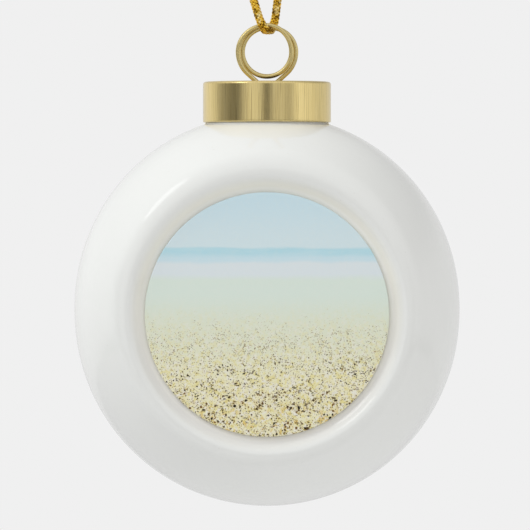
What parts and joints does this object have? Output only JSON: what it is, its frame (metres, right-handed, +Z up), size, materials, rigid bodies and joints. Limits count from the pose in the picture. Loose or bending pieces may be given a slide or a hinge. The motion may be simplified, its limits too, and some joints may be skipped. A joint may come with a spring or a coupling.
{
  "type": "christmas ball ornament",
  "caption": "Hollow glazed porcelain ball ornament with a dished picture face front and back, a metal cap, a wound wire hanger and a looped cord.",
  "frame": {"origin": "inside of the top of the cord's loop, where a hook holds it", "axes": "+Z up; the front picture faces -Y; +X to the right of someone facing the front picture"},
  "size_m": [0.066, 0.0426, 0.143],
  "materials": {
    "cord": "fine braid of metallic yarn",
    "hanger_wire": "drawn spring wire, pale gold",
    "cap_metal": "satin, pale gold",
    "porcelain": "glossy white glaze",
    "picture": "printed satin coating",
    "adhesive": "double-sided film"
  },
  "bodies": {
    "hang_cord": {"hanging_cord": "cord", "cord_knot": "cord"},
    "hanger": {"wire_hanger": "hanger_wire"},
    "cap": {"cap": "cap_metal"},
    "ball": {"ball_shell": "porcelain", "front_disc": "picture", "front_adhesive": "adhesive", "back_disc": "picture", "back_adhesive": "adhesive"}
  },
  "joints": [
    {"name": "swing", "type": "hinge", "parent": "hang_cord", "child": "hanger", "pos_m": [0, 0, -0.04755], "axis": [1, 0, 0], "range_deg": [-120, 120]},
    {"name": "hanger_swivel", "type": "hinge", "parent": "hanger", "child": "cap", "pos_m": [0, 0, -0.0576], "axis": [0, 0, 1], "continuous": true},
    {"name": "pull_off", "type": "slide", "parent": "cap", "child": "ball", "axis": [0, 0, -1], "range_m": [0, 0.02]}
  ]
}
